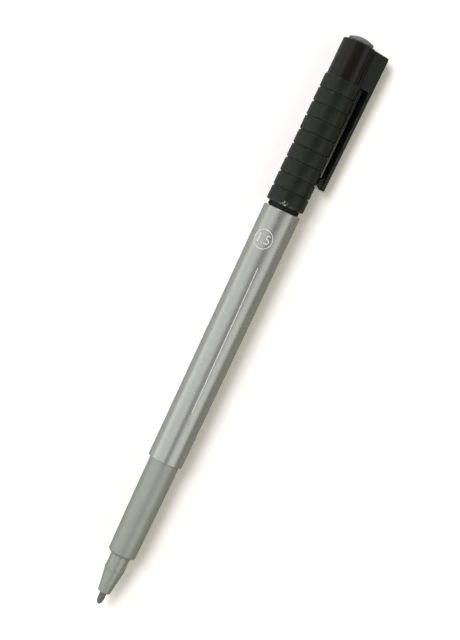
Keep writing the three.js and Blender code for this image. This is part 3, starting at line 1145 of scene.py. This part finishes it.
def finishPiece(piece, body, material, nodes, laid=False):
    if not laid:
        layDown(piece)
        smooth(piece)
        storeEdgeShare(piece)
    piece.data.materials.clear()
    piece.data.materials.append(material)
    if body:
        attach(piece, body)
    if nodes:
        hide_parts(*nodes)
    print("made", piece.name, "with", len(piece.data.polygons), "faces")


finishPiece(makeNib(), "pen", patternedMaterial(nibLook), ["nib"])
finishPiece(makeHolder(), "pen", patternedMaterial(holderLook), ["nib_holder"])
finishPiece(makeSection(), "pen", patternedMaterial(sectionLook), ["front_section"])
barrel = makeBarrel()
finishPiece(barrel, "pen", patternedMaterial(barrelLook), ["barrel"])
finishPiece(makeReservoir(), "pen", patternedMaterial(inkLook), ["reservoir_core"])
finishPiece(makeSleeve(), "pen", patternedMaterial(sleeveLook), ["reservoir_film"])
finishPiece(makePlug(), "pen", patternedMaterial(plugLook), ["rear_plug"])
finishPiece(makeCap(), "cap", capMaterial(), ["cap_shell"])
finishPiece(makeDome(), "cap", patternedMaterial(domeLook), ["cap_end_plug"])
finishPiece(makeLiner(), "cap_carrier", patternedMaterial(linerLook), ["cap_liner"])
clip = makeClip()
finishPiece(clip, None, patternedMaterial(clipLook), ["cap_clip"])
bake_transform(clip)
ink = patternedMaterial(printLook)
for makePrint in (makePrintLine, makePrintRing, makePrintNumber):
    finishPiece(makePrint(barrel), "pen", ink, [], laid=True)
print("the pen is modelled")


# Table: pale to the light and in reflections, with painted shade making it darker on the clip's side in
# reflections, and white to the camera outside the pen's shadow
tableLook = {
    "size": 8.0,  # metres
    "lit": (0.50, 0.49, 0.46, 1),
    "seen": (1.2, 1.195, 1.175, 1),
    "fadeToWhite": (0.12, 0.6),  # metres from the pen's middle, past its shadow
    # in reflections: how bright it is far off and near the pen, on the clip's side, darkened there as painted
    # shade, and on the other
    "mirroredFarPaintedShade": (0.2, 0.32),
    "mirroredNearPaintedShade": ([0.24, 0.235, 0.215, 1], [0.5, 0.5, 0.48, 1]),
    "sides": (-0.02, 0.02),
}


def addRays(tree):
    # whether a ray comes from the camera, and whether from a reflection or a see-through piece
    rays = addNode(tree, "LightPath", {})
    return rays["Is Camera Ray"], mathOf(tree, "MAXIMUM", rays["Is Glossy Ray"], rays["Is Transmission Ray"])


def makeTable():
    look = tableLook
    table = addPrimitive("table", bpy.ops.mesh.primitive_plane_add, size=look["size"], location=(0, 0, 0))
    sockets = {"Roughness": 0.9, "Specular IOR Level": 0, "Emission Color": (1, 1, 1, 1)}
    made, tree, shader = newMaterial("white table", sockets)
    camera, mirrored = addRays(tree)
    place = addNode(tree, "TexCoord", {})["Object"]
    # side is 0 on the clip's side, where the table is painted darker in reflections as painted shade, and 1
    # on the other
    side = rangeOf(tree, addNode(tree, "SeparateXYZ", {"Vector": place})["Y"], 0.0, 1.0, *look["sides"])
    near = blendColours(tree, *look["mirroredNearPaintedShade"], side)
    lit = blendColours(tree, look["lit"], near, mirrored)
    feed(tree, blendColours(tree, lit, look["seen"], camera), shader["Base Color"])
    away = vectorOf(tree, "LENGTH", {0: place}, "Value")
    fade = rangeOf(tree, away, 0.0, 1.0, *look["fadeToWhite"])
    faint = mathOf(tree, "MULTIPLY", mirrored, rangeOf(tree, side, *look["mirroredFarPaintedShade"]))
    seen = mathOf(tree, "MAXIMUM", camera, faint)
    feed(tree, mathOf(tree, "MULTIPLY", seen, fade), shader["Emission Strength"])
    table.data.materials.append(made)


makeTable()

# Room: dim and even as light, white to the camera, and with two pale walls in reflections
roomLook = {
    "ambient": (0.42, 0.41, 0.345),
    "wallLevel": 1.3,
    "middle": -7,  # degrees from overhead, to the left where they are positive, of the gap between the walls
    # degrees from the middle, and the share of wallLevel there
    "walls": {-90: 0.62, -60: 0.69, -38: 0.81, -20: 0.73, -12: 0.44, -4: 0.12, 4: 0.12,
              12: 0.55, 19: 0.8, 30: 0.7, 50: 0.66, 65: 0.8, 80: 0.93, 90: 0.96},
    "rightEnd": (-84, -64),  # degrees from overhead, where the right wall fades out
    # how much further apart and dimmer the walls are towards the cap's end
    "wallsPart": {"along": (-0.1, 0.09), "degrees": 27, "dim": 0.68},
    "frontDim": {"along": (-0.45, -0.25), "dim": 0.75},  # and how much dimmer they are towards the nib
    "lamp": {"towards": (0.62, 0.3, 0.72), "degrees": (8, 4), "level": 5.5},
}


def makeRoom():
    look, part, front, lamp = roomLook, roomLook["wallsPart"], roomLook["frontDim"], roomLook["lamp"]
    world = bpy.data.worlds.new("studio room")
    bpy.context.scene.world = world
    world.use_nodes = True
    tree = world.node_tree
    camera, mirrored = addRays(tree)
    place = addNode(tree, "TexCoord", {})["Generated"]
    parts = addNode(tree, "SeparateXYZ", {"Vector": place})

    # the angle from the middle, less what the dark gap between the walls takes at this place along the pen
    overhead = mathOf(tree, "ARCTAN2", parts["Y"], parts["Z"])
    angle = mathOf(tree, "SUBTRACT", overhead, math.radians(look["middle"]))
    gap = rangeOf(tree, parts["X"], 0.0, math.radians(part["degrees"]), *part["along"])
    less = mathOf(tree, "SUBTRACT", mathOf(tree, "ABSOLUTE", angle), gap)
    turn = mathOf(tree, "MULTIPLY", mathOf(tree, "MAXIMUM", less, 0.0), mathOf(tree, "SIGN", angle))

    # the walls' brightness at that angle, dimmer past the right end and towards the pen's ends
    share = rangeOf(tree, turn, 0.0, 1.0, -math.pi / 2, math.pi / 2)
    walls = addNode(tree, "ValToRGB", {"Fac": share})["Color"]
    marks = walls.node.color_ramp.elements
    stops = [((degrees + 90) / 180, level) for degrees, level in look["walls"].items()]
    for number, (position, level) in enumerate(stops):
        if 0 < number < len(stops) - 1:
            marks.new(position)
        marks[number].position = position
        marks[number].color = (level, level, level, 1)
    fadeFrom, fadeTo = [math.radians(degrees) for degrees in look["rightEnd"]]
    fade = rangeOf(tree, overhead, 0.1, 1.0, fadeFrom, fadeTo)
    faded = vectorOf(tree, "SCALE", {0: walls, "Scale": fade})
    dim = rangeOf(tree, parts["X"], look["wallLevel"], look["wallLevel"] * part["dim"], *part["along"])
    frontDim = rangeOf(tree, parts["X"], front["dim"], 1.0, *front["along"])
    lit = vectorOf(tree, "SCALE", {0: faded, "Scale": mathOf(tree, "MULTIPLY", dim, frontDim)})

    # one small lamp that shows in reflections
    near = vectorOf(tree, "DOT_PRODUCT", {0: place, 1: Vector(lamp["towards"]).normalized()}, "Value")
    outer, inner = [math.cos(math.radians(degrees)) for degrees in lamp["degrees"]]
    both = vectorOf(tree, "ADD", {0: lit, 1: rangeOf(tree, near, 0.0, lamp["level"], outer, inner)})

    # the light that the room gives is dimmer than its walls, and has the same dark gap overhead
    soft = vectorOf(tree, "MULTIPLY", {0: faded, 1: look["ambient"]})
    seen = blendColours(tree, blendColours(tree, soft, both, mirrored), [1, 1, 1, 1], camera)
    feed(tree, seen, tree.nodes["Background"].inputs["Color"])


makeRoom()

# Lamps: level is the brightness of the panel's face, where 1 is white, and tilt is from overhead to the left
lamps = {
    "key": {
        "towards": (1.9, 3.1, 5.2), "distance": 3.6, "size": (2.0, 2.0), "level": 6.5, "tint": (1, 1, 1.05),
    },
    "leftPanel": {"tilt": 46, "distance": 2.4, "size": (4.0, 3.2), "level": 0.64, "tint": (1, 1, 1)},
    "rightPanel": {"tilt": -54, "distance": 2.4, "size": (4.0, 2.0), "level": 1.3, "tint": (1, 0.965, 0.85)},
}


def makeLamp(name, distance, size, level, tint, towards=None, tilt=0):
    sideways, upwards = math.sin(math.radians(tilt)), math.cos(math.radians(tilt))
    direction = Vector(towards or (0, sideways, upwards)).normalized()
    lamp = addPrimitive(name, bpy.ops.object.light_add, type="AREA", location=direction * distance)
    lamp.rotation_euler = direction.to_track_quat("Z", "Y").to_euler()
    lamp.data.shape = "RECTANGLE"
    lamp.data.size, lamp.data.size_y = size
    lamp.data.energy = level * math.pi * size[0] * size[1]
    lamp.data.color = tint
    lamp.visible_glossy = False  # the room's walls are what shows in reflections


for name, settings in lamps.items():
    makeLamp(name, **settings)
print("table, room and lamps are in place")

# Camera: above the pen, a little towards the cap, with the pen leaning to the right in the picture
cameraView = {
    "place": (33.675, 484.4),  # along the pen, and above its axis
    "aim": 1.025,  # along the pen
    "sideways": 0.25,
    "lean": 25.1,  # degrees from upright
    "lens": 104.1,
    "sensor": 36.0,
}


def makeCamera():
    view = cameraView
    camera = addPrimitive("camera", bpy.ops.object.camera_add)
    camera.data.lens = view["lens"]
    camera.data.sensor_width = view["sensor"]
    camera.data.clip_start, camera.data.clip_end = 0.01, 20
    sideways = axisY + view["sideways"] * mm
    place = Vector((view["place"][0] * mm, sideways, axisZ + view["place"][1] * mm))
    aim = Vector((view["aim"] * mm, sideways, axisZ))
    forward = (aim - place).normalized()
    penWay = Vector((1, 0, 0))
    penWay = (penWay - penWay.dot(forward) * forward).normalized()
    lean = math.radians(view["lean"])
    up = penWay * math.cos(lean) - forward.cross(penWay) * math.sin(lean)
    right = forward.cross(up)
    turned = Matrix((right, up, -forward)).transposed()
    camera.matrix_world = Matrix.Translation(place) @ turned.to_4x4()
    bpy.context.scene.camera = camera


makeCamera()
bpy.context.scene.view_settings.view_transform = "Standard"
